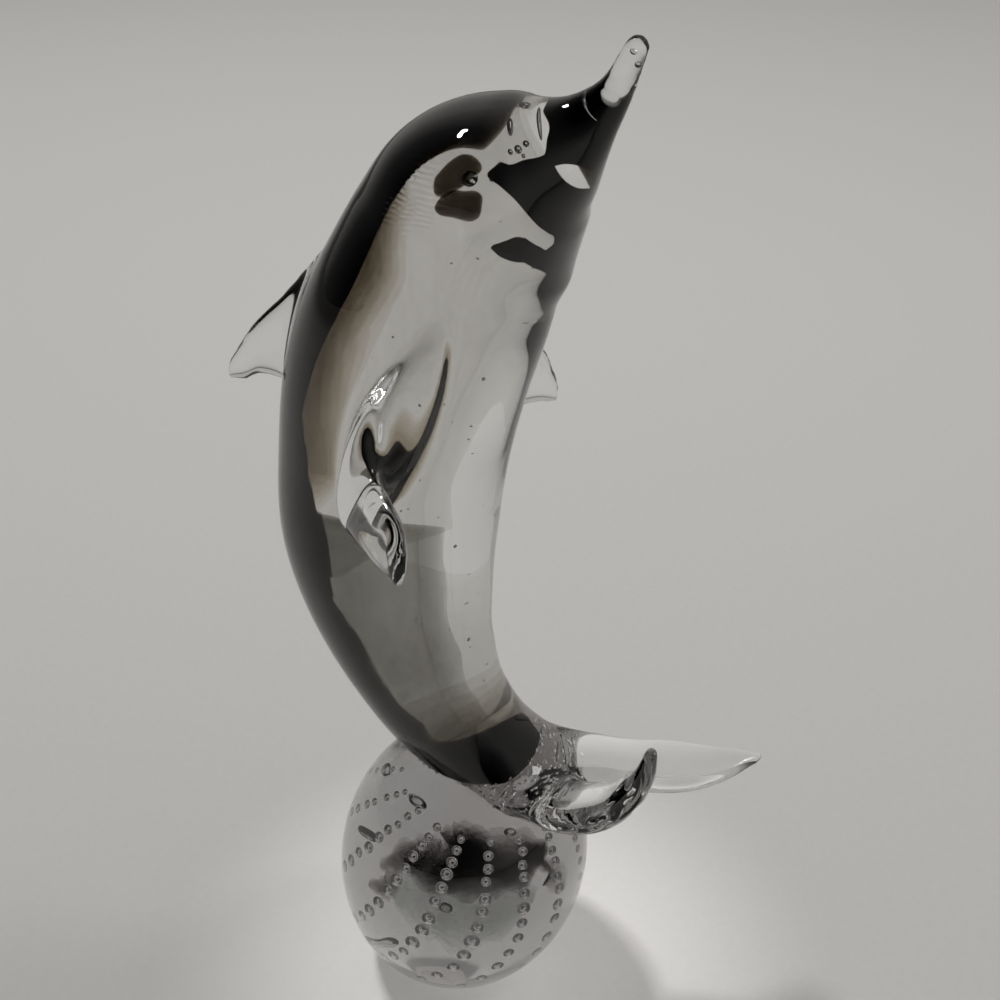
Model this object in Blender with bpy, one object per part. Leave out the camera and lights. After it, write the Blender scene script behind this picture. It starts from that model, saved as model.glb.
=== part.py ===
"""Glass dolphin figurine: a solid glass dolphin leaping up off the top of a leaning glass ball.

Metres, +Z up. The dolphin's beak points up, its belly faces +X and its left side faces +Y.
The origin is the middle of the flat foot that is ground on the underside of the ball.
"""

import math

import bmesh
import bpy
import numpy as np

# Driving dimensions
ball_width = 0.080            # across the ball at its waist
ball_length = 0.100           # along its axis, before the foot is ground flat
ball_lean = math.radians(12)  # the axis leans forward, towards the flukes
foot_width = 0.048            # the flat foot, measured across the lean
seat_depth = 0.017            # how far the tail is sunk into the top of the ball
figure_height = 0.2325        # the dolphin, from its seat in the ball to the tip of its beak
flipper_thickness = 0.0088    # each fin where it leaves the body
dorsal_thickness = 0.0072
fluke_thickness = 0.0100
fusion_gap = 0.0004           # kept between the two solids, which are fused in the real piece

# How finely the forms are faceted
body_rings = 66
body_sides = 28
fin_rings = 11
fin_sides = 16
dome_rings = 3
ball_segments = 44
ball_rings = 26
sharp_edge = math.radians(40)  # the rim of the foot is the one edge that stays sharp

# The ball's resting place: its foot lies on z = 0 with its middle on the origin
half_width = ball_width / 2
half_length = ball_length / 2
lean_sin = math.sin(ball_lean)
lean_cos = math.cos(ball_lean)
reach_down = math.hypot(half_width * lean_sin, half_length * lean_cos)
ball_height = reach_down * math.sqrt(1 - (foot_width / ball_width) ** 2)
foot_shift = (half_length ** 2 - half_width ** 2) * lean_sin * lean_cos / reach_down ** 2
ball_centre = np.array([foot_shift * ball_height, 0.0, ball_height])
ball_axis = np.array([lean_sin, 0.0, lean_cos])

# The dolphin is laid out from its seat in the ball, in thousandths of its own height
seat = ball_centre + ball_axis * (half_length - seat_depth)
unit = figure_height / 1000

# Body stations from the end of the tail stock to the beak: forward, up, half depth, half width
body_stations = [
    (110, 34, 27, 58),
    (88, 38, 38, 80),
    (52, 48, 53, 82),
    (15, 65, 68, 75),
    (-50, 126, 86, 82),
    (-88, 203, 102, 98),
    (-112, 296, 122, 117),
    (-121, 382, 135, 129),
    (-112, 491, 139, 132),
    (-86, 615, 141, 133),
    (-51, 702, 134, 129),
    (-22, 764, 125, 119),
    (10, 812, 119, 121),
    (64, 863, 84, 108),
    (86, 880, 63, 80),
    (121, 913, 33, 32),
    (144, 941, 20, 18),
    (167, 990, 12, 12),
]
tail_dome = 16
beak_dome = 11

# Fin stations from root to tip: front edge, rear edge, and the share of the fin's thickness left
dorsal_stations = [
    ((-114, 0, 800), (-196, 0, 545), 1.25),
    ((-186, 0, 745), (-256, 0, 558), 1.0),
    ((-252, 0, 668), (-289, 0, 562), 0.78),
    ((-294, 0, 624), (-310, 0, 551), 0.66),
    ((-323, 0, 582), (-327, 0, 550), 0.5),
]
right_flipper_stations = [
    ((6, -118, 722), (-104, -100, 448), 1.9),
    ((-32, -135, 680), (-98, -136, 466), 1.4),
    ((-64, -151, 625), (-99, -158, 480), 1.05),
    ((-58, -168, 573), (-77, -181, 483), 0.86),
    ((-26, -202, 559), (-42, -213, 484), 0.74),
    ((4, -232, 547), (-10, -241, 485), 0.62),
    ((14, -249, 537), (10, -258, 486), 0.42),
]
left_flipper_stations = [
    ((-34, 96, 680), (-92, 96, 440), 2.1),
    ((-60, 126, 632), (-92, 132, 458), 1.5),
    ((-62, 146, 606), (-88, 154, 460), 1.05),
    ((-50, 168, 586), (-70, 181, 460), 0.86),
    ((-26, 198, 565), (-42, 209, 461), 0.74),
    ((-2, 228, 546), (-14, 237, 462), 0.7),
    ((6, 245, 508), (4, 254, 457), 0.46),
]
level_fluke_stations = [
    ((8, 60, 66), (8, 0, 60), 1.0),
    ((60, 84, 50), (60, 0, 47), 1.2),
    ((114, 95, 42), (122, -4, 42), 1.0),
    ((174, 105, 40), (174, 9, 42), 0.84),
    ((234, 127, 38), (243, 24, 38), 0.72),
    ((286, 135, 38), (288, 49, 38), 0.6),
    ((320, 142, 38), (322, 88, 38), 0.5),
    ((344, 144, 38), (341, 120, 38), 0.34),
]
curled_fluke_stations = [
    ((8, -60, 66), (8, 0, 60), 1.0),
    ((60, -84, 50), (60, 0, 47), 1.2),
    ((114, -99, 49), (122, -4, 42), 1.1),
    ((161, -112, 64), (165, -9, 53), 1.0),
    ((200, -116, 89), (204, -22, 81), 0.9),
    ((230, -116, 126), (225, -43, 122), 0.8),
    ((247, -112, 167), (243, -69, 165), 0.6),
    ((255, -108, 208), (251, -90, 208), 0.36),
]
fin_dome = 10


def remove_everything():
    """Clear the objects that a new Blender file starts with."""
    for old in list(bpy.data.objects):
        bpy.data.objects.remove(old, do_unlink=True)


def smooth_run(stations, knots, count):
    """Rows spaced evenly along a smooth curve through the stations."""
    slopes = np.gradient(stations, knots, axis=0)
    places = np.linspace(knots[0], knots[-1], count)
    lower = np.clip(np.searchsorted(knots, places, side="right") - 1, 0, len(knots) - 2)
    span = (knots[lower + 1] - knots[lower])[:, None]
    t = (places - knots[lower])[:, None] / span
    rest = 1 - t
    start = stations[lower] * rest ** 2 * (1 + 2 * t) + slopes[lower] * span * t * rest ** 2
    end = stations[lower + 1] * t ** 2 * (3 - 2 * t) - slopes[lower + 1] * span * rest * t ** 2
    return start + end


def distances_along(points):
    """How far along the run each point lies."""
    steps = np.linalg.norm(np.diff(points, axis=0), axis=1)
    return np.concatenate([[0.0], np.cumsum(steps)])


def ring_points(middle, across, through, sides):
    """One oval section: across and through are its two half axes."""
    angles = np.linspace(0, 2 * math.pi, sides, endpoint=False)[:, None]
    return middle + across * np.cos(angles) + through * np.sin(angles)


def domed(rings, end, height):
    """Rings that round off one end of a run of rings, and the point they close on."""
    last = rings[end].mean(axis=0)
    before = rings[end - 1 if end else 1].mean(axis=0)
    outward = (last - before) / np.linalg.norm(last - before)
    caps = []
    for step in range(1, dome_rings + 1):
        angle = math.pi / 2 * step / (dome_rings + 1)
        middle = last + outward * height * math.sin(angle)
        caps.append(middle + (rings[end] - last) * math.cos(angle))
    return caps, last + outward * height


def loft(name, rings, first_dome, last_dome):
    """A closed object over a run of rings, rounded off at both ends."""
    start_caps, start_tip = domed(rings, 0, first_dome)
    end_caps, end_tip = domed(rings, -1, last_dome)
    run = start_caps[::-1] + list(rings) + end_caps
    form = bmesh.new()
    loops = [[form.verts.new(point) for point in ring] for ring in run]
    sides = len(loops[0])
    for one, two in zip(loops, loops[1:]):
        for i in range(sides):
            j = (i + 1) % sides
            form.faces.new((one[i], one[j], two[j], two[i]))
    for loop, tip in ((loops[0], start_tip), (loops[-1], end_tip)):
        point = form.verts.new(tip)
        for i in range(sides):
            form.faces.new((loop[i], loop[(i + 1) % sides], point))
    bmesh.ops.recalc_face_normals(form, faces=form.faces)
    mesh = bpy.data.meshes.new(name)
    form.to_mesh(mesh)
    form.free()
    mesh.shade_smooth()
    mesh.set_sharp_from_angle(angle=sharp_edge)
    return bpy.data.objects.new(name, mesh)


def body_object(name, grow=0.0):
    """The body from tail stock to beak, grown outward where it is to cut a seat."""
    stations = np.array(body_stations, dtype=float) * unit
    stations[:, 0] += seat[0]
    stations[:, 1] += seat[2]
    rows = smooth_run(stations, distances_along(stations[:, :2]), body_rings)
    heading = np.gradient(rows[:, :2], axis=0)
    heading /= np.linalg.norm(heading, axis=1)[:, None]
    rings = []
    for (x, z, depth, width), (forward, up) in zip(rows, heading):
        across = np.array([-up, 0.0, forward]) * (depth + grow)
        through = np.array([0.0, width + grow, 0.0])
        rings.append(ring_points(np.array([x, 0.0, z]), across, through, body_sides))
    return loft(name, rings, tail_dome * unit + grow, beak_dome * unit + grow)


def fin_object(name, fin_stations, thickness, grow=0.0):
    """A fin, flipper or fluke lobe between its front and rear edges."""
    front = np.array([station[0] for station in fin_stations]) * unit + seat
    rear = np.array([station[1] for station in fin_stations]) * unit + seat
    shares = np.array([[station[2]] for station in fin_stations])
    knots = distances_along((front + rear) / 2)
    rows = smooth_run(np.hstack([front, rear, shares * thickness / 2]), knots, fin_rings)
    middles = (rows[:, 0:3] + rows[:, 3:6]) / 2
    heading = np.gradient(middles, axis=0)
    rings = []
    for row, middle, along in zip(rows, middles, heading):
        chord = (row[0:3] - row[3:6]) / 2
        flat = np.cross(along, chord)
        across = chord * (1 + grow / np.linalg.norm(chord))
        through = flat / np.linalg.norm(flat) * (row[6] + grow)
        rings.append(ring_points(middle, across, through, fin_sides))
    return loft(name, rings, grow + fin_dome * unit, grow + fin_dome * unit)


def ball_object(name):
    """The leaning egg of glass with its foot ground flat on z = 0."""
    form = bmesh.new()
    bmesh.ops.create_uvsphere(form, u_segments=ball_segments, v_segments=ball_rings, radius=1)
    bmesh.ops.scale(form, vec=(half_width, half_width, half_length), verts=form.verts)
    for vert in form.verts:
        x, y, z = vert.co
        vert.co = (
            ball_centre[0] + x * lean_cos + z * lean_sin,
            ball_centre[1] + y,
            ball_centre[2] - x * lean_sin + z * lean_cos,
        )
    whole = list(form.verts) + list(form.edges) + list(form.faces)
    cut = bmesh.ops.bisect_plane(
        form, geom=whole, plane_co=(0, 0, 0), plane_no=(0, 0, 1), clear_inner=True
    )
    rim = [edge for edge in cut["geom_cut"] if isinstance(edge, bmesh.types.BMEdge)]
    bmesh.ops.contextual_create(form, geom=rim)
    bmesh.ops.recalc_face_normals(form, faces=form.faces)
    mesh = bpy.data.meshes.new(name)
    form.to_mesh(mesh)
    form.free()
    mesh.shade_smooth()
    mesh.set_sharp_from_angle(angle=sharp_edge)
    return bpy.data.objects.new(name, mesh)


def combine(target, others, operation):
    """Join the others to the target, or cut them from it, and keep them as hidden guides."""
    for other in others:
        modifier = target.modifiers.new(other.name, "BOOLEAN")
        modifier.operation = operation
        modifier.solver = "EXACT"
        modifier.object = other
        other.hide_render = True
        other.display_type = "WIRE"
        guides.objects.link(other)


def glass(name, colour, roughness):
    """Clear glass with the tint and polish of one sub-part."""
    material = bpy.data.materials.new(name)
    material.use_nodes = True
    shader = material.node_tree.nodes["Principled BSDF"]
    shader.inputs["Base Color"].default_value = (*colour, 1)
    shader.inputs["Roughness"].default_value = roughness
    shader.inputs["Metallic"].default_value = 0
    shader.inputs["IOR"].default_value = 1.5
    shader.inputs["Transmission Weight"].default_value = 1
    return material


remove_everything()
figurine = bpy.data.collections.new("glass_dolphin_figurine")
guides = bpy.data.collections.new("fins_and_cutters")
bpy.context.scene.collection.children.link(figurine)
bpy.context.scene.collection.children.link(guides)

# The dolphin: one mass of clear glass over a smoky core, its fins drawn out of it
dolphin = body_object("dolphin")
dolphin.data.materials.append(glass("smoky_sommerso_glass", (0.36, 0.37, 0.36), 0.02))
dolphin_fins = [
    fin_object("dorsal_fin", dorsal_stations, dorsal_thickness),
    fin_object("left_flipper", left_flipper_stations, flipper_thickness),
    fin_object("right_flipper", right_flipper_stations, flipper_thickness),
    fin_object("left_fluke", level_fluke_stations, fluke_thickness),
    fin_object("right_fluke", curled_fluke_stations, fluke_thickness),
]
combine(dolphin, dolphin_fins, "UNION")

# The ball: bubble glass that the tail is fused into
ball = ball_object("bubble_ball_base")
ball.data.materials.append(glass("clear_bubble_glass", (0.86, 0.88, 0.88), 0.02))
seat_cutters = [
    body_object("tail_seat_cutter", grow=fusion_gap),
    fin_object("left_fluke_cutter", level_fluke_stations, fluke_thickness, grow=fusion_gap),
    fin_object("right_fluke_cutter", curled_fluke_stations, fluke_thickness, grow=fusion_gap),
]
combine(ball, seat_cutters, "DIFFERENCE")

for piece in (dolphin, ball):
    figurine.objects.link(piece)
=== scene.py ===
"""The looks of the glass dolphin figurine: a dolphin of clear glass over a smoky core, with a black
back, fused to a leaning ball of clear glass that holds twisted columns of air bubbles.

Metres, +Z up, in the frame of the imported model: the beak points up, the belly and the flukes face
+X, and the foot of the ball stands on the origin.
"""

import math

import bmesh
import bpy
import numpy as np
from mathutils import Matrix, Vector
from mathutils.bvhtree import BVHTree


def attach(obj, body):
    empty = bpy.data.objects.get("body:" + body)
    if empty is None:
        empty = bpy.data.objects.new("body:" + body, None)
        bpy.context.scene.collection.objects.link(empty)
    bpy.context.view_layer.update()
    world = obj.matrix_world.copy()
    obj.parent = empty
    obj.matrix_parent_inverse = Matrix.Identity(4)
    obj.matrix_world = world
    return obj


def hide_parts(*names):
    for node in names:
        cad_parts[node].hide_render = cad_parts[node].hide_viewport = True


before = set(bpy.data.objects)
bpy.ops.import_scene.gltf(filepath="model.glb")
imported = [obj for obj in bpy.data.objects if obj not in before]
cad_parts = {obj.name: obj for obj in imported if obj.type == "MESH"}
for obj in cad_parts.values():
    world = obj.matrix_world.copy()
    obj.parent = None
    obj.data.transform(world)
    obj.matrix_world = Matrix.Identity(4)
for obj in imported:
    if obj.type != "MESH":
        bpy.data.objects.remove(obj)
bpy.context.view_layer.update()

# The ball: one solid gather of clear glass, turned to a leaning egg and fire polished all over,
# then ground flat below so that it stands. The dolphin's tail is sunk into its top.
ball_width = 0.080
ball_length = 0.100
ball_lean = math.radians(12)
foot_width = 0.048
ball_segments = 160
ball_rings = 112
foot_edge = math.radians(40)   # skin that turns more sharply than this is the rim of the foot

half_width = ball_width / 2
half_length = ball_length / 2
lean_sin = math.sin(ball_lean)
lean_cos = math.cos(ball_lean)
reach_down = math.hypot(half_width * lean_sin, half_length * lean_cos)
ball_height = reach_down * math.sqrt(1 - (foot_width / ball_width) ** 2)
foot_shift = (half_length ** 2 - half_width ** 2) * lean_sin * lean_cos / reach_down ** 2
ball_centre = np.array([foot_shift * ball_height, 0.0, ball_height])
ball_axis = np.array([lean_sin, 0.0, lean_cos])
ball_forward = np.array([lean_cos, 0.0, -lean_sin])
ball_left = np.array([0.0, 1.0, 0.0])


def object_from(form, name):
    """A bmesh as a smooth-shaded object in the scene."""
    mesh = bpy.data.meshes.new(name)
    form.to_mesh(mesh)
    form.free()
    mesh.shade_smooth()
    made = bpy.data.objects.new(name, mesh)
    bpy.context.scene.collection.objects.link(made)
    return made


def ball_point(out, polar, around):
    """A place in the egg: out is the share of the way to its skin, the angles go round its axis."""
    return (
        ball_centre
        + ball_axis * half_length * out * math.cos(polar)
        + ball_forward * half_width * out * math.sin(polar) * math.cos(around)
        + ball_left * half_width * out * math.sin(polar) * math.sin(around)
    )


def ground_egg(name, segments, rings, share, floor_height):
    """An egg that fills a share of the ball's own, ground flat at a height."""
    form = bmesh.new()
    bmesh.ops.create_uvsphere(form, u_segments=segments, v_segments=rings, radius=share)
    for vert in form.verts:
        x, y, z = vert.co
        vert.co = (
            ball_centre
            + ball_forward * half_width * x
            + ball_left * half_width * y
            + ball_axis * half_length * z
        )
    whole = list(form.verts) + list(form.edges) + list(form.faces)
    cut = bmesh.ops.bisect_plane(
        form, geom=whole, plane_co=(0, 0, floor_height), plane_no=(0, 0, 1), clear_inner=True)
    rim = [edge for edge in cut["geom_cut"] if isinstance(edge, bmesh.types.BMEdge)]
    bmesh.ops.contextual_create(form, geom=rim)
    bmesh.ops.recalc_face_normals(form, faces=form.faces)
    return object_from(form, name)


ball = ground_egg("bubble_ball", ball_segments, ball_rings, 1, 0)
ball.data.set_sharp_from_angle(angle=foot_edge)


def linear(hex_colour):
    """An sRGB hex colour as linear red, green and blue."""
    shares = [int(hex_colour[i:i + 2], 16) / 255 for i in (1, 3, 5)]
    return [s / 12.92 if s <= 0.04045 else ((s + 0.055) / 1.055) ** 2.4 for s in shares]


def add_node(material, kind, inputs=None, **settings):
    """A shader node with its settings, and its sockets set or linked."""
    tree = material.node_tree
    added = tree.nodes.new(kind)
    for name, value in settings.items():
        setattr(added, name, value)
    for socket, value in (inputs or {}).items():
        if isinstance(value, bpy.types.NodeSocket):
            tree.links.new(value, added.inputs[socket])
        else:
            added.inputs[socket].default_value = value
    return added


def new_material(name):
    """An empty node material and its output."""
    material = bpy.data.materials.new(name)
    material.use_nodes = True
    material.node_tree.nodes.clear()
    return material, add_node(material, "ShaderNodeOutputMaterial")


def fire_polished_crystal(name, hex_clear, hex_streak, swell_mm, swell_depth_mm):
    """Clear crystal glass, polished by the flame: its skin swells softly and its tint runs in streaks."""
    material, output = new_material(name)
    place = add_node(material, "ShaderNodeTexCoord")
    swell = add_node(material, "ShaderNodeTexNoise", {
        "Vector": place.outputs["Object"], "Scale": 1000 / swell_mm, "Detail": 1.0, "Roughness": 0.4})
    bump = add_node(material, "ShaderNodeBump", {
        "Height": swell.outputs["Fac"], "Distance": swell_depth_mm / 1000, "Strength": 1.0})
    drawn = add_node(material, "ShaderNodeMapping", {
        "Vector": place.outputs["Object"], "Scale": (1000 / 9, 1000 / 9, 1000 / 60)})
    streak = add_node(material, "ShaderNodeTexNoise", {
        "Vector": drawn.outputs["Vector"], "Scale": 1.0, "Detail": 3.0, "Distortion": 0.6})
    tint = add_node(material, "ShaderNodeMix", {
        "Factor": streak.outputs["Fac"], "A": (*linear(hex_clear), 1), "B": (*linear(hex_streak), 1)},
        data_type="RGBA")
    shader = add_node(material, "ShaderNodeBsdfPrincipled", {
        "Base Color": tint.outputs["Result"], "Roughness": 0.0, "IOR": 1.5,
        "Transmission Weight": 1.0, "Normal": bump.outputs["Normal"]})
    material.node_tree.links.new(shader.outputs["BSDF"], output.inputs["Surface"])
    return material


# Fire polished clear crystal: colourless lead glass, glossy as it left the flame.
clear_crystal = fire_polished_crystal("fire_polished_clear_crystal", "#FFFFFF", "#F4F8F7", 14, 0.05)
ball.data.materials.append(clear_crystal)
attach(ball, "root")
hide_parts("bubble_ball_base")

# The bubbles: the gather was pricked in rows by a spiked mould and cased again, so that each prick
# closed round a bead of air. They stand in sixteen columns, and a turn of the iron twisted them.
columns = 16
bubbles_in_column = 14
column_turn = math.radians(360 / columns)
first_column = math.radians(5)
top_bubble_deg = 43.5          # how far the top bubbles lie from the ball's upper end
bubble_step_deg = 4.6
bubble_stretch_deg = 0.27      # the steps widen downwards, where the glass was drawn out
bubble_depth = 0.86            # share of the way out to the skin
bubble_radius = 0.0019
top_size = 0.35                # the bubbles' size at the ball's ends, and what its waist adds
waist_size = 0.75
mean_prick = 0.68              # how deep the pricks went, and how much less on the shallow side
prick_swing = 0.32
shallow_side = math.radians(111)
twist = 0.8                    # turn of a column for its way down, on the side most dragged
dragged_side = math.radians(170)
twist_from = math.radians(65)
lag_from_deg = 80              # below this the columns lag behind the twist
lag_rate_deg = 0.008
clear_of_foot = 0.004
polar_scatter_deg = 0.5
around_scatter = 0.008
depth_scatter = 0.004
size_scatter = 0.08
bubble_segments = 20
bubble_layers = 12


def bubbles_object(name, beads, segments, layers):
    """Beads of trapped air, each a centre and three radii: small spheres whose faces look inwards."""
    form = bmesh.new()
    bmesh.ops.create_uvsphere(form, u_segments=segments, v_segments=layers, radius=1)
    bmesh.ops.reverse_faces(form, faces=form.faces)
    form.verts.index_update()
    round_bead = np.array([vert.co for vert in form.verts])
    round_faces = [[vert.index for vert in face.verts] for face in form.faces]
    form.free()
    points = []
    faces = []
    for centre, radii in beads:
        first = len(points) * len(round_bead)
        faces += [[first + corner for corner in face] for face in round_faces]
        points.append(round_bead * radii + centre)
    mesh = bpy.data.meshes.new(name)
    mesh.from_pydata(np.concatenate(points).tolist(), [], faces)
    mesh.shade_smooth()
    made = bpy.data.objects.new(name, mesh)
    bpy.context.scene.collection.objects.link(made)
    return made


chance = np.random.default_rng(7)
beads = []
for column in range(columns):
    start = first_column + column * column_turn
    for step in range(bubbles_in_column):
        polar_deg = top_bubble_deg + bubble_step_deg * step + bubble_stretch_deg * step ** 2
        polar_deg += chance.normal(0, polar_scatter_deg)
        polar = math.radians(polar_deg)
        drag = twist * (0.5 + 0.5 * math.cos(start - dragged_side)) ** 2
        lag = math.radians(lag_rate_deg * max(0, polar_deg - lag_from_deg) ** 2)
        around = start - drag * (polar - twist_from) - lag + chance.normal(0, around_scatter)
        size = bubble_radius * (top_size + waist_size * math.sin(polar) ** 2)
        size *= mean_prick - prick_swing * math.cos(start - shallow_side)
        size *= 1 + chance.normal(0, size_scatter)
        centre = ball_point(bubble_depth + chance.normal(0, depth_scatter), polar, around)
        if centre[2] > clear_of_foot:
            beads.append((centre, np.full(3, size)))
ball_bubbles = bubbles_object("ball_bubbles", beads, bubble_segments, bubble_layers)
# Trapped air in crystal: the glass is mirror smooth where it closed round each bead of air.
trapped_air, output = new_material("trapped_air_in_crystal")
place = add_node(trapped_air, "ShaderNodeTexCoord")
film = add_node(trapped_air, "ShaderNodeTexNoise", {"Vector": place.outputs["Object"], "Scale": 1000 / 1.5})
haze = add_node(trapped_air, "ShaderNodeMix", {
    "Factor": film.outputs["Fac"], "A": (*linear("#FFFFFF"), 1), "B": (*linear("#F2F4F4"), 1)},
    data_type="RGBA")
shader = add_node(trapped_air, "ShaderNodeBsdfPrincipled", {
    "Base Color": haze.outputs["Result"], "Roughness": 0.0, "IOR": 1.5, "Transmission Weight": 1.0})
trapped_air.node_tree.links.new(shader.outputs["BSDF"], output.inputs["Surface"])
ball_bubbles.data.materials.append(trapped_air)
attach(ball_bubbles, "root")

# The dolphin's clear glass: the body was drawn and bent hot from one gather, and its fins, flippers
# and flukes were pinched and pulled out of it with tongs, so they run into it in soft fillets.
seat_depth = 0.017
figure_height = 0.2325
flipper_thickness = 0.0088
dorsal_thickness = 0.0072
fluke_thickness = 0.0100
seat = ball_centre + ball_axis * (half_length - seat_depth)
unit = figure_height / 1000    # the body is laid out in thousandths of its height

# Body stations from the end of the tail stock to the beak: forward, up, half depth, half width
body_stations = [
    (110, 34, 27, 58),
    (88, 38, 38, 80),
    (52, 48, 53, 82),
    (15, 65, 68, 75),
    (-50, 126, 86, 82),
    (-88, 203, 102, 98),
    (-112, 296, 122, 117),
    (-121, 382, 135, 129),
    (-112, 491, 139, 132),
    (-86, 615, 141, 133),
    (-51, 702, 134, 129),
    (-22, 764, 125, 119),
    (10, 812, 119, 121),
    (64, 863, 84, 108),
    (86, 880, 63, 80),
    (121, 913, 33, 32),
    (144, 941, 20, 18),
    (167, 990, 12, 12),
]
tail_dome = 16
beak_dome = 11

# Fin stations from root to tip: front edge, rear edge, and the share of the fin's thickness left
dorsal_stations = [
    ((-114, 0, 800), (-196, 0, 545), 1.25),
    ((-186, 0, 745), (-256, 0, 558), 1.0),
    ((-252, 0, 668), (-289, 0, 562), 0.78),
    ((-294, 0, 624), (-310, 0, 551), 0.66),
    ((-323, 0, 582), (-327, 0, 550), 0.5),
]
right_flipper_stations = [
    ((6, -118, 722), (-104, -100, 448), 1.9),
    ((-32, -135, 680), (-98, -136, 466), 1.4),
    ((-64, -151, 625), (-99, -158, 480), 1.05),
    ((-58, -168, 573), (-77, -181, 483), 0.86),
    ((-26, -202, 559), (-42, -213, 484), 0.74),
    ((4, -232, 547), (-10, -241, 485), 0.62),
    ((14, -249, 537), (10, -258, 486), 0.42),
]
left_flipper_stations = [
    ((-34, 96, 680), (-92, 96, 440), 2.1),
    ((-60, 126, 632), (-92, 132, 458), 1.5),
    ((-62, 146, 606), (-88, 154, 460), 1.05),
    ((-50, 168, 586), (-70, 181, 460), 0.86),
    ((-26, 198, 565), (-42, 209, 461), 0.74),
    ((-2, 228, 546), (-14, 237, 462), 0.7),
    ((6, 245, 508), (4, 254, 457), 0.46),
]
level_fluke_stations = [
    ((8, 60, 66), (8, 0, 60), 1.0),
    ((60, 84, 50), (60, 0, 47), 1.2),
    ((114, 95, 42), (122, -4, 42), 1.0),
    ((174, 105, 40), (174, 9, 42), 0.84),
    ((234, 127, 38), (243, 24, 38), 0.72),
    ((286, 135, 38), (288, 49, 38), 0.6),
    ((320, 142, 38), (322, 88, 38), 0.5),
    ((344, 144, 38), (341, 120, 38), 0.34),
]
curled_fluke_stations = [
    ((8, -60, 66), (8, 0, 60), 1.0),
    ((60, -84, 50), (60, 0, 47), 1.2),
    ((114, -99, 49), (122, -4, 42), 1.1),
    ((161, -112, 64), (165, -9, 53), 1.0),
    ((200, -116, 89), (204, -22, 81), 0.9),
    ((230, -116, 126), (225, -43, 122), 0.8),
    ((247, -112, 167), (243, -69, 165), 0.6),
    ((255, -108, 208), (251, -90, 208), 0.36),
]
fin_dome = 10
body_rings = 420
body_sides = 240
fin_rings = 90
fin_sides = 96
dome_rings = 12
skin_grain = 0.0009            # the edge of a facet in the drawn skin
fillet = 0.009                 # how far the fillet at a fin's root reaches
root_passes = 90               # how often the fillets are smoothed, and then the whole skin
skin_passes = 10


def smooth_run(stations, knots, places):
    """Rows at the given places along a smooth curve through the stations."""
    slopes = np.gradient(stations, knots, axis=0)
    lower = np.clip(np.searchsorted(knots, places, side="right") - 1, 0, len(knots) - 2)
    span = (knots[lower + 1] - knots[lower])[:, None]
    t = (places - knots[lower])[:, None] / span
    rest = 1 - t
    start = stations[lower] * rest ** 2 * (1 + 2 * t) + slopes[lower] * span * t * rest ** 2
    end = stations[lower + 1] * t ** 2 * (3 - 2 * t) - slopes[lower + 1] * span * rest * t ** 2
    return start + end


def distances_along(points):
    """How far along the run each point lies."""
    steps = np.linalg.norm(np.diff(points, axis=0), axis=1)
    return np.concatenate([[0.0], np.cumsum(steps)])


def domed(rings, end, height):
    """Rings that round off one end of a run of rings, and the point they close on."""
    last = rings[end].mean(axis=0)
    before = rings[end - 1 if end else 1].mean(axis=0)
    outward = (last - before) / np.linalg.norm(last - before)
    caps = []
    for step in range(1, dome_rings + 1):
        angle = math.pi / 2 * step / (dome_rings + 1)
        middle = last + outward * height * math.sin(angle)
        caps.append(middle + (rings[end] - last) * math.cos(angle))
    return caps, last + outward * height


def loft_form(rings, first_dome, last_dome):
    """A closed bmesh over a run of rings, rounded off at both ends."""
    start_caps, start_tip = domed(rings, 0, first_dome)
    end_caps, end_tip = domed(rings, -1, last_dome)
    run = start_caps[::-1] + list(rings) + end_caps
    form = bmesh.new()
    loops = [[form.verts.new(point) for point in ring] for ring in run]
    sides = len(loops[0])
    for one, two in zip(loops, loops[1:]):
        for i in range(sides):
            j = (i + 1) % sides
            form.faces.new((one[i], one[j], two[j], two[i]))
    for loop, tip in ((loops[0], start_tip), (loops[-1], end_tip)):
        point = form.verts.new(tip)
        for i in range(sides):
            form.faces.new((loop[i], loop[(i + 1) % sides], point))
    bmesh.ops.recalc_face_normals(form, faces=form.faces)
    return form


def lofted(name, rings, first_dome, last_dome):
    """A closed object over a run of rings."""
    return object_from(loft_form(rings, first_dome, last_dome), name)


def body_frames(count):
    """Sections of the body: middle, half axis towards the back, half axis towards the left side."""
    stations = np.array(body_stations, dtype=float) * unit
    knots = distances_along(stations[:, :2])
    rows = smooth_run(stations, knots, np.linspace(knots[0], knots[-1], count))
    heading = np.gradient(rows[:, :2], axis=0)
    heading /= np.linalg.norm(heading, axis=1)[:, None]
    flat = np.zeros(count)
    middle = np.stack([rows[:, 0], flat, rows[:, 1]], axis=1) + seat
    back = np.stack([-heading[:, 1], flat, heading[:, 0]], axis=1)
    return middle, back, rows[:, 2], rows[:, 3], rows[:, 1] / unit


def body_loft(name):
    """The body from tail stock to beak."""
    middle, back, depth, width, _ = body_frames(body_rings)
    angles = np.linspace(0, 2 * math.pi, body_sides, endpoint=False)[:, None]
    rings = [
        middle[i] + back[i] * depth[i] * np.cos(angles) + ball_left * width[i] * np.sin(angles)
        for i in range(body_rings)
    ]
    return lofted(name, rings, tail_dome * unit, beak_dome * unit)


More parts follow.
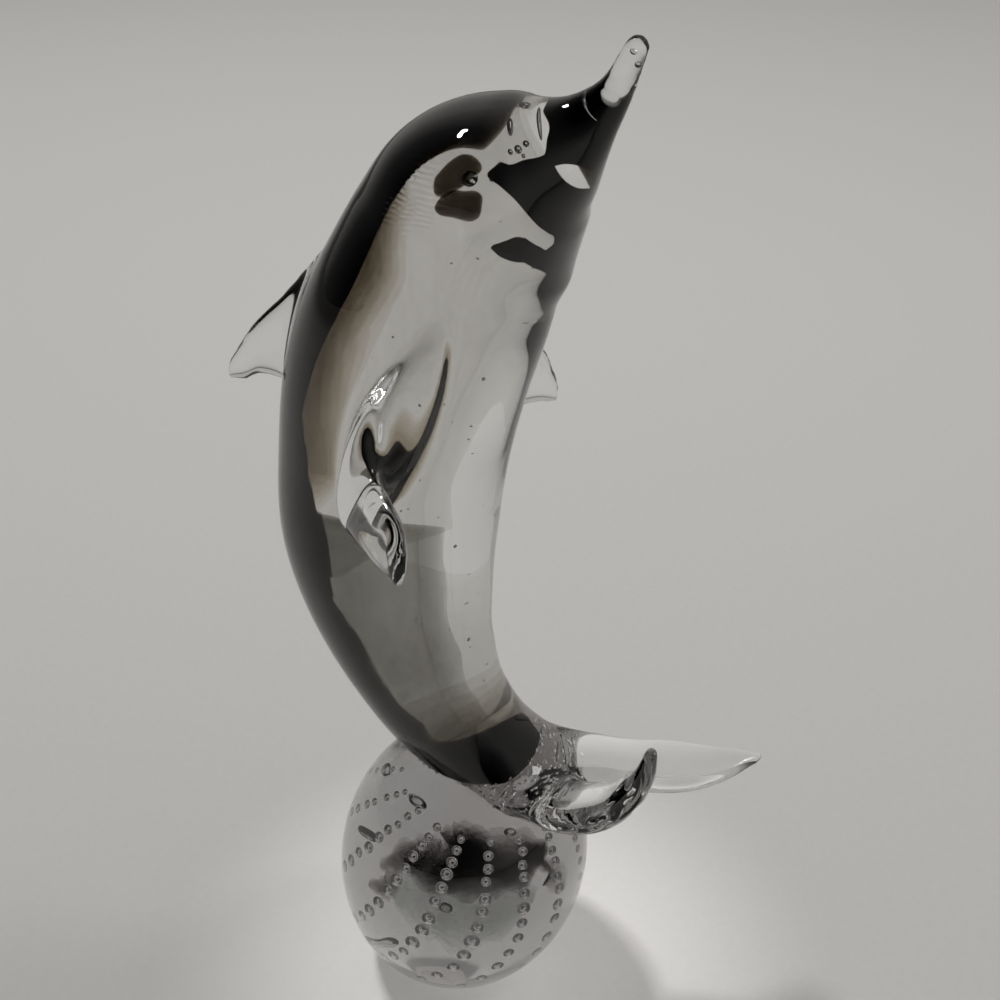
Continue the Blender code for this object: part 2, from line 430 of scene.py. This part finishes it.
def fin_loft(name, fin_stations, thickness):
    """A fin, flipper or fluke lobe between its front and rear edges."""
    front = np.array([station[0] for station in fin_stations]) * unit + seat
    rear = np.array([station[1] for station in fin_stations]) * unit + seat
    shares = np.array([[station[2]] for station in fin_stations])
    knots = distances_along((front + rear) / 2)
    stations = np.hstack([front, rear, shares * thickness / 2])
    rows = smooth_run(stations, knots, np.linspace(knots[0], knots[-1], fin_rings))
    middles = (rows[:, 0:3] + rows[:, 3:6]) / 2
    heading = np.gradient(middles, axis=0)
    angles = np.linspace(0, 2 * math.pi, fin_sides, endpoint=False)[:, None]
    rings = []
    for row, middle, along in zip(rows, middles, heading):
        chord = (row[0:3] - row[3:6]) / 2
        flat = np.cross(along, chord)
        through = flat / np.linalg.norm(flat) * row[6]
        rings.append(middle + chord * np.cos(angles) + through * np.sin(angles))
    return lofted(name, rings, fin_dome * unit, fin_dome * unit)


def settled(piece):
    """The piece with its modifiers made part of its mesh."""
    bpy.context.view_layer.update()
    evaluated = piece.evaluated_get(bpy.context.evaluated_depsgraph_get())
    mesh = bpy.data.meshes.new_from_object(evaluated)
    piece.modifiers.clear()
    piece.data = mesh
    return mesh


drawn_parts = [
    body_loft("drawn_body"),
    fin_loft("drawn_dorsal_fin", dorsal_stations, dorsal_thickness),
    fin_loft("drawn_left_flipper", left_flipper_stations, flipper_thickness),
    fin_loft("drawn_right_flipper", right_flipper_stations, flipper_thickness),
    fin_loft("drawn_left_fluke", level_fluke_stations, fluke_thickness),
    fin_loft("drawn_right_fluke", curled_fluke_stations, fluke_thickness),
]
surfaces = []
form = bmesh.new()
for part in drawn_parts:
    form.from_mesh(part.data)
    surfaces.append(BVHTree.FromPolygons(
        [vert.co for vert in part.data.vertices], [face.vertices for face in part.data.polygons]))
    bpy.data.objects.remove(part, do_unlink=True)
dolphin = object_from(form, "clear_dolphin")
melt = dolphin.modifiers.new("melt", "REMESH")
melt.mode = "VOXEL"
melt.voxel_size = skin_grain
settled(dolphin)

# Away from the roots each point goes back to the drawn surface; near them the skin is smoothed.
root_share = np.zeros(len(dolphin.data.vertices))
for index, vert in enumerate(dolphin.data.vertices):
    found = sorted((surface.find_nearest(vert.co) for surface in surfaces), key=lambda hit: hit[3])
    root_share[index] = max(0.0, 1 - found[1][3] / fillet)
    vert.co = vert.co.lerp(found[0][0], 1 - root_share[index])
roots = dolphin.vertex_groups.new(name="roots")
for index in np.nonzero(root_share)[0]:
    roots.add([int(index)], float(root_share[index]), "REPLACE")
draw = dolphin.modifiers.new("draw", "SMOOTH")
draw.factor = 0.5
draw.iterations = root_passes
draw.vertex_group = "roots"
polish = dolphin.modifiers.new("polish", "SMOOTH")
polish.factor = 0.5
polish.iterations = skin_passes
settled(dolphin).shade_smooth()
# Fire polished crystal: the same clear glass as the ball's, with longer swells from the tongs.
dolphin_crystal = fire_polished_crystal(
    "fire_polished_crystal_of_the_dolphin", "#FFFFFF", "#F3F5F4", 18, 0.04)

# The skin chilled in fine ripples beside the eye, where the tongs held the head.
ripple_place = (0.0030, -0.0245, 0.2710)
ripple_reach = 0.013
ripple_length_mm = 1.3
ripple_depth_mm = 0.08
nodes = dolphin_crystal.node_tree.nodes
place = add_node(dolphin_crystal, "ShaderNodeTexCoord")
ripple = add_node(dolphin_crystal, "ShaderNodeTexWave", {
    "Vector": place.outputs["Object"], "Scale": math.pi * 100 / ripple_length_mm, "Distortion": 5.0,
    "Detail": 1.0, "Detail Scale": 0.6}, bands_direction="Z")
away = add_node(dolphin_crystal, "ShaderNodeVectorMath", {
    0: place.outputs["Object"], 1: ripple_place}, operation="DISTANCE")
near = add_node(dolphin_crystal, "ShaderNodeMapRange", {
    "Value": away.outputs["Value"], "From Min": ripple_reach, "From Max": ripple_reach / 3},
    interpolation_type="SMOOTHSTEP")
held = add_node(dolphin_crystal, "ShaderNodeMath", {
    0: ripple.outputs["Fac"], 1: near.outputs["Result"]}, operation="MULTIPLY")
swell = next(node for node in nodes if node.bl_idname == "ShaderNodeBump")
rippled = add_node(dolphin_crystal, "ShaderNodeBump", {
    "Height": held.outputs["Value"], "Distance": ripple_depth_mm / 1000, "Strength": 1.0,
    "Normal": swell.outputs["Normal"]})
shader = next(node for node in nodes if node.bl_idname == "ShaderNodeBsdfPrincipled")
dolphin_crystal.node_tree.links.new(rippled.outputs["Normal"], shader.inputs["Normal"])
dolphin.data.materials.append(dolphin_crystal)

# Where tail and ball are fused there is no surface between them: light goes straight through.
fused, output = new_material("fused_seam")
place = add_node(fused, "ShaderNodeTexCoord")
film = add_node(fused, "ShaderNodeTexNoise", {"Vector": place.outputs["Object"], "Scale": 1000 / 4})
haze = add_node(fused, "ShaderNodeMix", {
    "Factor": film.outputs["Fac"], "A": (*linear("#FFFFFF"), 1), "B": (*linear("#F6F6F6"), 1)},
    data_type="RGBA")
shader = add_node(fused, "ShaderNodeBsdfPrincipled", {
    "Base Color": haze.outputs["Result"], "Roughness": 0.0, "IOR": 1.0, "Transmission Weight": 1.0})
fused.node_tree.links.new(shader.outputs["BSDF"], output.inputs["Surface"])
dolphin.data.materials.append(fused)
ball.data.materials.append(fused)


def inside_ball(point):
    """Whether a point is inside the egg."""
    away = np.array(point) - ball_centre
    across = np.array([away @ ball_forward, away @ ball_left]) / half_width
    return across @ across + (away @ ball_axis / half_length) ** 2 < 1


for face in dolphin.data.polygons:
    if face.center.z < ball_height + half_length and inside_ball(face.center):
        face.material_index = 1
skin = BVHTree.FromPolygons(
    [vert.co for vert in dolphin.data.vertices], [face.vertices for face in dolphin.data.polygons])
for face in ball.data.polygons:
    near, normal, _, _ = skin.find_nearest(face.center)
    if (face.center - near).dot(normal) < 0:
        face.material_index = 1
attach(dolphin, "root")
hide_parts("dolphin")

# The smoky core: the first gather, of grey glass, cased in clear. It lies along the back half of
# the lower body, from a round stub over the flukes up to the flippers.
core_sides = 120
corner = 8                     # how round the corners of the core's section are


def sealed_core(name, stations, first_dome, last_dome, wall=0.0, ring_step=1):
    """A core inside the body. Stations: up, where its flat front lies (1 back, -1 belly), casing.

    With a wall it is a skin of coloured glass round a clear heart, half as thick over the front.
    A thin layer needs only every second or third of the body's rings.
    """
    table = np.array(stations, dtype=float)
    middle, back, depth, width, up = body_frames(body_rings)
    kept = np.flatnonzero((up >= table[0, 0]) & (up <= table[-1, 0]))[::ring_step]
    rows = smooth_run(table, table[:, 0], up[kept])
    angles = np.linspace(0, 2 * math.pi, core_sides, endpoint=False)
    cos, sin = np.cos(angles), np.sin(angles)

    def rings(inwards):
        for place, across, deep, wide, (_, front, casing) in zip(
                middle[kept], back[kept], depth[kept] / unit, width[kept] / unit, rows):
            deep_here = deep - casing - inwards
            front_here = (front * (deep - casing) + inwards / 2) / deep_here
            mid = (1 + front_here) / 2
            to_skin = np.sqrt(1 - (mid * sin) ** 2) - mid * cos
            to_front = np.where(cos < -1e-6, (mid - front_here) / np.maximum(-cos, 1e-6), 1e6)
            reach = (to_skin ** -corner + to_front ** -corner) ** (-1 / corner)
            yield (
                place
                + np.outer((mid + reach * cos) * deep_here * unit, across)
                + np.outer(reach * sin * (wide - casing - inwards) * unit, ball_left)
            )

    form = loft_form(list(rings(0)), first_dome * unit, last_dome * unit)
    if wall:
        heart = loft_form(list(rings(wall)), (first_dome - wall) * unit, (last_dome - wall) * unit)
        bmesh.ops.reverse_faces(heart, faces=heart.faces)
        mesh = bpy.data.meshes.new(name + "_heart")
        heart.to_mesh(mesh)
        heart.free()
        form.from_mesh(mesh)
        bpy.data.meshes.remove(mesh)
    return object_from(form, name)


def sealed_glass(name, hex_clear, hex_streak, absorbed, density):
    """Coloured glass sealed in clear: no skin of its own, only the light that it takes away."""
    material, output = new_material(name)
    place = add_node(material, "ShaderNodeTexCoord")
    drawn = add_node(material, "ShaderNodeMapping", {
        "Vector": place.outputs["Object"], "Scale": (1000 / 5, 1000 / 5, 1000 / 45)})
    streak = add_node(material, "ShaderNodeTexNoise", {
        "Vector": drawn.outputs["Vector"], "Scale": 1.0, "Detail": 4.0, "Distortion": 0.8})
    tint = add_node(material, "ShaderNodeMix", {
        "Factor": streak.outputs["Fac"], "A": (*linear(hex_clear), 1), "B": (*linear(hex_streak), 1)},
        data_type="RGBA")
    shader = add_node(material, "ShaderNodeBsdfPrincipled", {
        "Base Color": tint.outputs["Result"], "Roughness": 0.0, "IOR": 1.0, "Transmission Weight": 1.0})
    volume = add_node(material, "ShaderNodeVolumeAbsorption", {
        "Color": (*absorbed, 1), "Density": density})
    material.node_tree.links.new(shader.outputs["BSDF"], output.inputs["Surface"])
    material.node_tree.links.new(volume.outputs["Volume"], output.inputs["Volume"])
    return material


smoky_wall = 12                # the core is a skin of smoke round a clear heart
smoky_core = sealed_core("smoky_core", [
    (64, 0.35, 28),
    (84, 0.38, 26),
    (127, 0.34, 20),
    (192, 0.29, 14),
    (261, 0.24, 14),
    (329, 0.16, 14),
    (380, 0.10, 14),
], 20, 20, smoky_wall)
# Smoky grey glass: a light grey, streaked along the pull.
smoky_glass = sealed_glass("smoky_grey_glass", "#FFFFFF", "#D8D6D0", (0.50, 0.50, 0.475), 215)
smoky_core.data.materials.append(smoky_glass)
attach(smoky_core, "root")

# A veil of the same grey thins out before it, towards the belly.
smoky_veil = sealed_core("smoky_veil", [
    (80, -0.80, 14),
    (120, -0.80, 14),
    (200, -0.48, 14),
    (270, -0.08, 14),
    (330, 0.26, 14),
    (360, 0.44, 14),
], 14, 14)
# Thin grey glass: the smoky glass drawn out to a trace.
veil_glass = sealed_glass("thin_grey_glass", "#FFFFFF", "#EEEDEA", (0.50, 0.49, 0.47), 22)
smoky_veil.data.materials.append(veil_glass)
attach(smoky_veil, "root")

# Above it the smoke thins to a pale haze, all but clear, that runs on up to the head.
pale_haze = sealed_core("pale_haze", [
    (376, 0.08, 14),
    (462, 0.02, 14),
    (517, -0.05, 14),
    (576, -0.12, 14),
    (629, -0.19, 14),
    (711, -0.22, 14),
    (820, -0.15, 14),
], 20, 20, smoky_wall)
# Hazy grey glass: the smoky glass thinned by the clear that it melted into.
hazy_glass = sealed_glass("hazy_grey_glass", "#FFFFFF", "#ECEAE7", (0.50, 0.50, 0.49), 40)
pale_haze.data.materials.append(hazy_glass)
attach(pale_haze, "root")

# The black back: a bar of black glass laid along the back of the core and cased with it. It runs
# from the stub over the flukes up the back and over the forehead, and stops behind the eyes' brow.
black_back = sealed_core("black_back", [
    (50, -0.50, 40),
    (56, -0.60, 35),
    (64, -0.41, 31),
    (72, -0.05, 29),
    (80, 0.39, 28),
    (88, 0.65, 27),
    (96, 0.78, 26),
    (130, 0.76, 22),
    (186, 0.72, 18),
    (238, 0.66, 15),
    (286, 0.66, 15),
    (361, 0.58, 15),
    (430, 0.56, 15),
    (510, 0.58, 15),
    (593, 0.54, 15),
    (717, 0.50, 15),
    (769, 0.54, 15),
    (800, 0.57, 14),
    (831, 0.62, 12),
    (853, 0.60, 11),
    (862, 0.52, 11),
], 12, 5)
# Black glass: so deep a brown that a few millimetres let nothing through.
black_glass = sealed_glass("black_glass", "#FFFFFF", "#D8D4CC", (0.50, 0.46, 0.41), 2200)
black_back.data.materials.append(black_glass)
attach(black_back, "root")

# Along the upper back the black bled into the clear in a soft brown border: thin layers, one on
# another. Over the stub the grey darkens into the black in the same way.
# Brown bleed: black glass thinned until its brown shows.
brown_glass = sealed_glass("brown_bleed_glass", "#FFFFFF", "#EFEBE4", (0.50, 0.46, 0.39), 11)
bleed_layers = 6
bleed_step = 0.032
for layer in range(1, bleed_layers + 1):
    reach = layer * bleed_step
    brown_bleed = sealed_core("brown_bleed_%d" % layer, [
        (440, 0.54 - reach, 15),
        (520, 0.56 - reach, 15),
        (593, 0.52 - reach, 15),
        (717, 0.48 - reach, 15),
        (769, 0.55 - reach, 15),
        (800, 0.62 - reach / 2, 15),
    ], 8, 8, ring_step=3)
    brown_bleed.data.materials.append(brown_glass)
    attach(brown_bleed, "root")
# Dark bleed: the same, mixed with the smoky grey.
dusk_glass = sealed_glass("dark_bleed_glass", "#FFFFFF", "#EAE8E4", (0.50, 0.475, 0.43), 15)
dusk_tops = (100, 112, 124, 138, 154)
for layer, top in enumerate(dusk_tops, start=1):
    dusk = sealed_core("dark_bleed_%d" % layer, [
        (58, -0.60, 32),
        (top - 32, -0.50, 28),
        (top - 18, -0.25, 26),
        (top - 6, 0.20, 25),
        (top, 0.50, 24),
    ], 12, 6, ring_step=2)
    dusk.data.materials.append(dusk_glass)
    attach(dusk, "root")

# The black chin: a flat trail of the same black glass, folded down through the middle of the head
# from the melon to the throat, with a finger that points back under the eyes and one clear hole.
chin_outline = [
    (14, 837), (22, 839), (41, 849), (58, 858), (69, 867), (76, 883), (81, 898), (77, 916),
    (96, 920), (112, 914), (122, 907), (131, 903), (134, 890), (132, 864), (127, 842), (119, 816),
    (112, 790), (104, 772), (98, 756), (90, 744), (78, 742), (68, 752), (57, 763), (45, 772),
    (35, 781), (24, 788), (19, 793), (22, 796), (30, 789), (38, 785), (48, 786), (57, 790),
    (64, 796), (57, 800), (46, 806), (38, 814), (31, 822), (22, 829),
]
chin_hole = [
    (70, 857), (80, 863), (92, 868), (106, 870), (118, 868), (127, 863), (124, 854), (112, 849),
    (98, 848), (82, 847), (73, 850),
]
chin_plate = 8
chin_round = 5


def outline_plate(name, outlines, grain, half_plate, rounding, place):
    """A flat plate of glass with rounded rims from smooth outlines, laid in the plane of a matrix."""
    curve = bpy.data.curves.new(name, "CURVE")
    curve.dimensions = "2D"
    curve.fill_mode = "BOTH"
    curve.extrude = half_plate * grain
    curve.bevel_depth = rounding * grain
    curve.bevel_resolution = 3
    curve.offset = -rounding * grain
    curve.resolution_u = 8
    for outline in outlines:
        spline = curve.splines.new("BEZIER")
        spline.bezier_points.add(len(outline) - 1)
        spline.use_cyclic_u = True
        for point, (across, up) in zip(spline.bezier_points, outline):
            point.co = (across * grain, up * grain, 0)
            point.handle_left_type = point.handle_right_type = "AUTO"
    shape = bpy.data.objects.new(name + "_outline", curve)
    bpy.context.scene.collection.objects.link(shape)
    bpy.context.view_layer.update()
    evaluated = shape.evaluated_get(bpy.context.evaluated_depsgraph_get())
    form = bmesh.new()
    form.from_mesh(bpy.data.meshes.new_from_object(evaluated))
    form.transform(place)
    bmesh.ops.remove_doubles(form, verts=form.verts, dist=0.00001)
    bmesh.ops.recalc_face_normals(form, faces=form.faces)
    bpy.data.objects.remove(shape, do_unlink=True)
    return object_from(form, name)


middle_plane = Matrix.Translation(Vector(seat)) @ Matrix.Rotation(math.radians(90), 4, "X")
black_chin = outline_plate(
    "black_chin", [chin_outline, chin_hole], unit, chin_plate, chin_round, middle_plane)
# Black trail: the back's black glass, laid on thick from a hot rod.
chin_glass = sealed_glass("black_trail_glass", "#FFFFFF", "#D8D4CC", (0.50, 0.46, 0.41), 6000)
black_chin.data.materials.append(chin_glass)
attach(black_chin, "root")

# The eye patches: a dab of smoky glass in two lobes under the skin on each side of the head, with a
# flat drop of air over it for the eye. Both sides are alike.
patch_place = (0.0148, -0.0263, 0.2743)      # on the skin of the right side
patch_outward = (0.03, -0.885, 0.465)
patch_depth = 0.0034
patch_upper_lobe = [
    (-5.8, 1.0), (-5.2, -2.1), (-4.2, -2.6), (1.2, 0.2), (3.3, 2.4), (4.7, 4.3), (3.6, 6.2),
    (0.4, 7.2), (-2.5, 5.5), (-4.4, 3.3),
]
patch_lower_lobe = [
    (-4.7, -4.1), (-0.9, -0.8), (1.3, -0.7), (5.3, -0.9), (6.0, -3.2), (5.2, -6.4), (-0.2, -6.7),
    (-4.8, -5.7),
]
lobe_half = 0.2                # millimetres, like the lobes' outlines
lobe_round = 1.2
eye_place = (0.0177, -0.0253, 0.2762)
eye_outward = (0.08, -0.83, 0.55)
eye_depth = 0.0022
eye_radius = 0.0018
eye_flatness = 0.35            # how deep the drop is for its breadth

# Smoky dab: brown black glass, pressed on hot and cased.
patch_glass = sealed_glass("smoky_dab_glass", "#FFFFFF", "#E4D9C8", (0.50, 0.47, 0.42), 1900)
form = bmesh.new()
for side, turn in (("right", 1), ("left", -1)):
    outward = Vector((patch_outward[0], patch_outward[1] * turn, patch_outward[2])).normalized()
    centre = Vector((patch_place[0], patch_place[1] * turn, patch_place[2])) - outward * patch_depth
    over = (Vector((0, 0, 1)) - outward * outward.z).normalized()
    across = over.cross(outward) * turn
    plane = Matrix((across, over, outward)).transposed().to_4x4()
    plane.translation = centre
    for lobe, outline in (("upper", patch_upper_lobe), ("lower", patch_lower_lobe)):
        patch = outline_plate(
            "%s_eye_patch_%s" % (side, lobe), [outline], 0.001, lobe_half, lobe_round, plane)
        patch.data.materials.append(patch_glass)
        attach(patch, "root")
    looking = Vector((eye_outward[0], eye_outward[1] * turn, eye_outward[2])).normalized()
    skin_place = Vector((eye_place[0], eye_place[1] * turn, eye_place[2]))
    drop = looking.to_track_quat("Z", "Y").to_matrix().to_4x4() @ Matrix.Diagonal(
        (eye_radius, eye_radius, eye_radius * eye_flatness, 1))
    drop.translation = skin_place - looking * eye_depth
    bmesh.ops.create_uvsphere(
        form, u_segments=bubble_segments, v_segments=bubble_layers, radius=1, matrix=drop)
bmesh.ops.reverse_faces(form, faces=form.faces)
eye_beads = object_from(form, "eye_beads")
eye_beads.data.materials.append(trapped_air)
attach(eye_beads, "root")

# Stray bubbles: a few drops of air in the clear window of the forehead and under the skin of the
# flank, and fine seeds, thickest in the tail, that the melt never gave up.
stray_bubbles = [
    ((52, -43, 907), (3.4, 3.4, 12)),
    ((56, -10, 919), (6.5, 4.0, 7)),
    ((74, -18, 905), (2.4, 2.4, 20)),
    ((59, -43, 883), (4.0, 4.0, 4.0)),
    ((50, -43, 878), (2.6, 2.6, 2.6)),
    ((68, -43, 891), (3.2, 3.2, 3.2)),
    ((64, -43, 878), (2.0, 2.0, 2.0)),
    ((-40, -26, 905), (2.0, 2.0, 2.0)),
    ((-34, -12, 910), (1.6, 1.6, 1.6)),
    ((36, -80, 650), (2.2, 2.2, 2.2)),
    ((-6, -68, 420), (2.2, 2.2, 2.2)),
    ((-5, -36, 263), (2.4, 2.4, 2.4)),
    ((-24, -116, 628), (1.6, 1.6, 1.6)),
    ((168, -3, 974), (3.4, 3.4, 3.4)),
    ((163, 2, 984), (2.4, 2.4, 2.4)),
]
tail_seeds = 200
tail_seed_box = ((0, 112), (-58, 58), (26, 52))
tail_seed_growth = 1.9
flank_seeds = 90
flank_seed_span = (0.12, 0.86)     # shares of the body's length
flank_seed_spread = (0.1, 0.88)    # shares of the section's area
flank_seed_growth = 0.8
seed_sizes = (0.5, 1.7)        # in thousandths of the height, like the places
seed_segments = 12
seed_layers = 8
strays = [
    (np.array(centre) * unit + seat, np.array(radii, dtype=float) * unit)
    for centre, radii in stray_bubbles
]
seeds = []
for _ in range(tail_seeds):
    spot = np.array([chance.uniform(least, most) for least, most in tail_seed_box])
    seeds.append((spot * unit + seat, np.full(3, chance.uniform(*seed_sizes) * tail_seed_growth * unit)))
middle, back, depth, width, up = body_frames(body_rings)
for _ in range(flank_seeds):
    ring = int(chance.uniform(*flank_seed_span) * body_rings)
    turned = chance.uniform(0, 2 * math.pi)
    out = math.sqrt(chance.uniform(*flank_seed_spread))
    spot = (
        middle[ring]
        + back[ring] * depth[ring] * out * math.cos(turned)
        + ball_left * width[ring] * out * math.sin(turned)
    )
    seeds.append((spot, np.full(3, chance.uniform(*seed_sizes) * unit * flank_seed_growth)))
for air in (
        bubbles_object("stray_bubbles", strays, bubble_segments, bubble_layers),
        bubbles_object("fine_seeds", seeds, seed_segments, seed_layers)):
    air.data.materials.append(trapped_air)
    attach(air, "root")

# Painted shade in the ball: wisps of grey glass, each soft at its border, stand in for the shade that
# is seen through the ball, and a thin grey tint fills the rest and darkens it.
heart_share = 0.92
heart_floor = 0.003
heart_segments = 96
heart_rings = 64
ball_painted_shade = ground_egg("ball_painted_shade", heart_segments, heart_rings, heart_share, heart_floor)
# Grey tint, painted shade: it darkens the whole ball a little, as the shade seen through it would.
painted_shade_tint = sealed_glass("grey_painted_shade_glass", "#FFFFFF", "#F2F0F0", (0.50, 0.487, 0.492), 24)
ball_painted_shade.data.materials.append(painted_shade_tint)
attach(ball_painted_shade, "root")

# Wisp stations in millimetres from the ball's centre: forward, left, up, half height, half depth
wisps = {
    "middle": [
        (-10, -3, -2, 1.2, 3), (-6, -2, -3, 3.8, 6), (-1, -1, -1, 5.4, 9), (3, 1, 1, 6.4, 10),
        (7, 3, -1, 4.6, 9), (12, 5, 0, 5.0, 7), (16, 6, 3, 2.0, 3),
    ],
    "spike": [
        (-3, -2, 9, 0.8, 1.5), (-2, -1, 7, 2.4, 3), (1, 0, 4, 3.4, 5), (4, 1, 1, 3.0, 5),
    ],
    "left_smear": [
        (-15, -5, -3, 0.8, 2), (-11, -4, 0, 2.2, 5), (-8, -3, 2, 2.0, 5), (-4, -2, 5, 0.8, 3),
    ],
    "low_smear": [
        (-17, -6, -9, 0.8, 2), (-14, -6, -8, 1.8, 4), (-12, -5, -5, 0.8, 2),
    ],
    "right_smear": [
        (12, 4, 6, 0.8, 2), (16, 5, 2, 1.8, 4), (17, 6, -3, 1.2, 4), (19, 6, -7, 0.8, 2),
    ],
    "low_painted_shade": [
        (-12, -4, -11, 1.5, 6), (-6, -2, -12, 5.5, 14), (0, 0, -12, 7.0, 18),
        (6, 2, -12, 5.5, 14), (12, 4, -10, 1.5, 6),
    ],
}
wisp_layers = (1.0, 0.82, 0.64, 0.44)
wisp_border = ((0.20, 3, 5), (0.12, 7, -9))    # uneven border: height, lobes round it, their drift
wisp_turn = 3                  # how far the border turns from end to end
wisp_dome = 0.001
wisp_rings = 48
wisp_sides = 40


def wisp_rings_of(stations, share):
    """Rings of a wisp, a share of its full breadth, with an uneven border that turns along it."""
    table = np.array(stations, dtype=float) / 1000
    knots = distances_along(table[:, :3])
    places = np.linspace(knots[0], knots[-1], wisp_rings)
    rows = smooth_run(table, knots, places)
    heading = np.gradient(rows[:, :3], axis=0)
    angles = np.linspace(0, 2 * math.pi, wisp_sides, endpoint=False)
    for row, along, turned in zip(rows, heading, np.linspace(0, wisp_turn, wisp_rings)):
        side = np.cross(along, (0, 0, 1))
        side /= np.linalg.norm(side)
        uneven = share * (1 + sum(
            height * np.sin(lobes * angles + drift * turned) for height, lobes, drift in wisp_border))
        yield (
            ball_centre + row[:3]
            + np.outer(np.cos(angles) * uneven * row[3], (0, 0, 1))
            + np.outer(np.sin(angles) * uneven * row[4], side)
        )


# Painted shade: wisps of grey glass laid where shade is seen through the ball.
painted_shade_wisp_glass = sealed_glass("painted_shade_wisps_in_the_ball", "#FFFFFF", "#E6E4E4", (0.50, 0.48, 0.475), 170)
# Thin painted shade: the same, much fainter, low in the ball.
thin_painted_shade_glass = sealed_glass("thin_painted_shade_in_the_ball", "#FFFFFF", "#EDEFEE", (0.50, 0.50, 0.49), 9)
# Each wisp is painted shade: dark glass laid where only shade shows through the ball.
for name, stations in wisps.items():
    for layer, share in enumerate(wisp_layers, start=1):
        rings = list(wisp_rings_of(stations, share))
        wisp = lofted("wisp_%s_%d" % (name, layer), rings, wisp_dome, wisp_dome)
        wisp.data.materials.append(thin_painted_shade_glass if name == "low_painted_shade" else painted_shade_wisp_glass)
        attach(wisp, "root")

# The floor: a pale matt sheet, far wider than the camera sees, as in a plain photo studio. The sheet
# glows a little of its own beneath the ball: a painted pool of light that lightens the ball's shadow.
# The painted pool of light: its middle, full strength within the core, gone at the edge, and its glow.
floor_half = 6.0
painted_light_middle = (0.015, -0.005, 0.0)
painted_light_core = 0.035
painted_light_edge = 0.12
painted_light_strength = 0.40
form = bmesh.new()
bmesh.ops.create_grid(form, x_segments=1, y_segments=1, size=floor_half)
floor = object_from(form, "studio_floor")
# Matt pale paper: uncoated, with a faint fibre, and a painted glow of light beneath the ball.
pale_paper, output = new_material("matt_pale_paper")
place = add_node(pale_paper, "ShaderNodeTexCoord")
fibre = add_node(pale_paper, "ShaderNodeTexNoise", {
    "Vector": place.outputs["Object"], "Scale": 1000 / 3, "Detail": 4.0})
paper = add_node(pale_paper, "ShaderNodeMix", {
    "Factor": fibre.outputs["Fac"], "A": (*linear("#C9C7C4"), 1), "B": (*linear("#CFCDCA"), 1)},
    data_type="RGBA")
# Painted light: the paper glows round the ball's foot and fades out with distance.
away = add_node(pale_paper, "ShaderNodeVectorMath", {
    0: place.outputs["Object"], 1: painted_light_middle}, operation="DISTANCE")
painted_light_pool = add_node(pale_paper, "ShaderNodeMapRange", {
    "Value": away.outputs["Value"], "From Min": painted_light_edge, "From Max": painted_light_core,
    "To Max": painted_light_strength}, interpolation_type="SMOOTHSTEP")
shader = add_node(pale_paper, "ShaderNodeBsdfPrincipled", {
    "Base Color": paper.outputs["Result"], "Roughness": 0.9, "Specular IOR Level": 0.2,
    "Emission Color": paper.outputs["Result"], "Emission Strength": painted_light_pool.outputs["Result"]})
pale_paper.node_tree.links.new(shader.outputs["BSDF"], output.inputs["Surface"])
floor.data.materials.append(pale_paper)

# The light: a pale room that darkens towards the front left and overhead. A small bright window
# high on the left makes the glints and the shadow, and a wide, weak one on the right fills it.
dark_side = (-0.5, -0.75, 0.5)     # the room darkens towards the front left and overhead
scene = bpy.context.scene
world = bpy.data.worlds.new("pale_room")
scene.world = world
world.use_nodes = True
world.node_tree.nodes.clear()
sky = add_node(world, "ShaderNodeTexCoord")
lean = add_node(world, "ShaderNodeVectorMath", {
    0: sky.outputs["Generated"], 1: dark_side}, operation="DOT_PRODUCT")
ramp = add_node(world, "ShaderNodeValToRGB", {"Fac": lean.outputs["Value"]})
ramp.color_ramp.elements[0].position = 0.0
ramp.color_ramp.elements[0].color = (*linear("#A5A3A0"), 1)
ramp.color_ramp.elements[1].position = 0.85
ramp.color_ramp.elements[1].color = (*linear("#0E0E0F"), 1)
middle_stop = ramp.color_ramp.elements.new(0.40)
middle_stop.color = (*linear("#555453"), 1)
glow = add_node(world, "ShaderNodeBackground", {"Color": ramp.outputs["Color"], "Strength": 1.0})
output = add_node(world, "ShaderNodeOutputWorld")
world.node_tree.links.new(glow.outputs["Background"], output.inputs["Surface"])


def soft_window(name, place, aim, wide, high, watts, spread_deg):
    """A soft rectangular light at a place, turned towards a point, whose light fans out by an angle."""
    data = bpy.data.lights.new(name, "AREA")
    data.shape = "RECTANGLE"
    data.size = wide
    data.size_y = high
    data.energy = watts
    data.spread = math.radians(spread_deg)
    window = bpy.data.objects.new(name, data)
    window.location = place
    window.rotation_euler = (Vector(aim) - Vector(place)).to_track_quat("-Z", "Y").to_euler()
    scene.collection.objects.link(window)
    return window


soft_window(
    "left_window", place=(-2.6, 1.25, 4.7), aim=(0, 0.4, 0), wide=0.8, high=0.3, watts=18, spread_deg=60)
soft_window(
    "right_window", place=(3.2, 2.2, 3.6), aim=(0, 1.0, 0), wide=1.2, high=1.2, watts=7, spread_deg=80)

# The camera stands to the right of the dolphin's flank and looks down on it.
camera_place = (0.134569, -0.309839, 0.376134)
camera_turn = math.radians(21)
camera_tilt = math.radians(59)
camera_lens = 50.4
camera = bpy.data.objects.new("camera", bpy.data.cameras.new("camera"))
camera.location = camera_place
camera.rotation_euler = (camera_tilt, 0, camera_turn)
camera.data.lens = camera_lens
camera.data.sensor_width = 36
camera.data.clip_start = 0.01
scene.collection.objects.link(camera)
scene.camera = camera
scene.view_settings.view_transform = "Standard"
scene.cycles.max_bounces = 32
scene.cycles.transmission_bounces = 32
scene.cycles.glossy_bounces = 12
